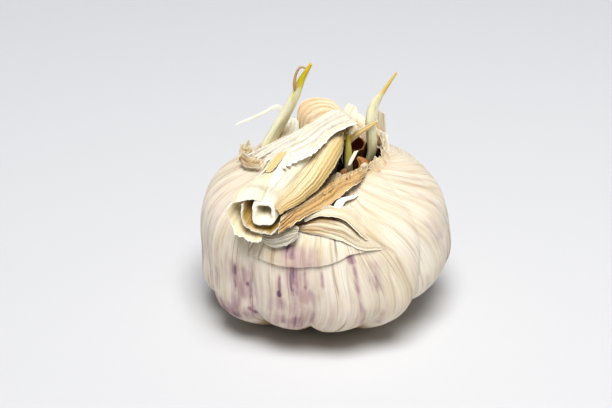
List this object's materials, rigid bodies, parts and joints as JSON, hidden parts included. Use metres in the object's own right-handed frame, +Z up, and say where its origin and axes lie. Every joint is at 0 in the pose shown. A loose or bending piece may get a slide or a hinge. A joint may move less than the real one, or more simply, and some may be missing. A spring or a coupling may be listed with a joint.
{
  "type": "garlic bulb",
  "caption": "Whole dry garlic bulb with papery purple-streaked skin, a bent cut neck, torn leaf flaps, an open crown and green shoots.",
  "frame": {"origin": "middle of the root plate's flat underside, on which the bulb rests", "axes": "+Z up; -Y is the front; +X is the right; the cut end of the neck points to the front left"},
  "size_m": [0.0607, 0.0603, 0.0602],
  "materials": {
    "outer_skin": "papery satin, cream with purple streaks and fine veins",
    "root_plate": "matte, corky, tan",
    "upper_skin": "papery satin, cream and pale pink",
    "white_leaf": "papery, nearly white, finely ribbed",
    "neck": "satin, creamy white",
    "dry_leaf": "papery, golden brown, ribbed",
    "grey_skin": "papery, grey-cream, wavy ribs",
    "clove_tip": "matte, dark brown, fibrous",
    "shoot": "smooth satin, pale green to yellow"
  },
  "bodies": {
    "root": {"bulb": "outer_skin", "root_plate": "root_plate", "cap_skin": "upper_skin", "pleated_skin": "grey_skin", "torn_curl": "white_leaf", "neck_core": "neck", "sheath_inner": "neck", "sheath_outer": "neck", "neck_tongue": "neck", "tan_leaf": "dry_leaf", "brown_leaf": "dry_leaf", "collar_flap": "grey_skin", "neck_flap": "white_leaf", "clove_tip_right": "clove_tip", "clove_tip_back": "clove_tip", "clove_tip_front": "clove_tip", "sprout_left": "shoot", "sprout_left_husk": "dry_leaf", "sprout_right": "shoot", "sprout_centre": "shoot", "back_fan": "upper_skin", "back_skin": "upper_skin", "back_tab": "white_leaf", "right_fingers": "dry_leaf", "right_shred": "white_leaf", "left_tab": "upper_skin", "left_collar": "grey_skin", "back_sliver": "white_leaf", "right_strip": "dry_leaf", "crown_strand": "white_leaf"}
  },
  "joints": []
}
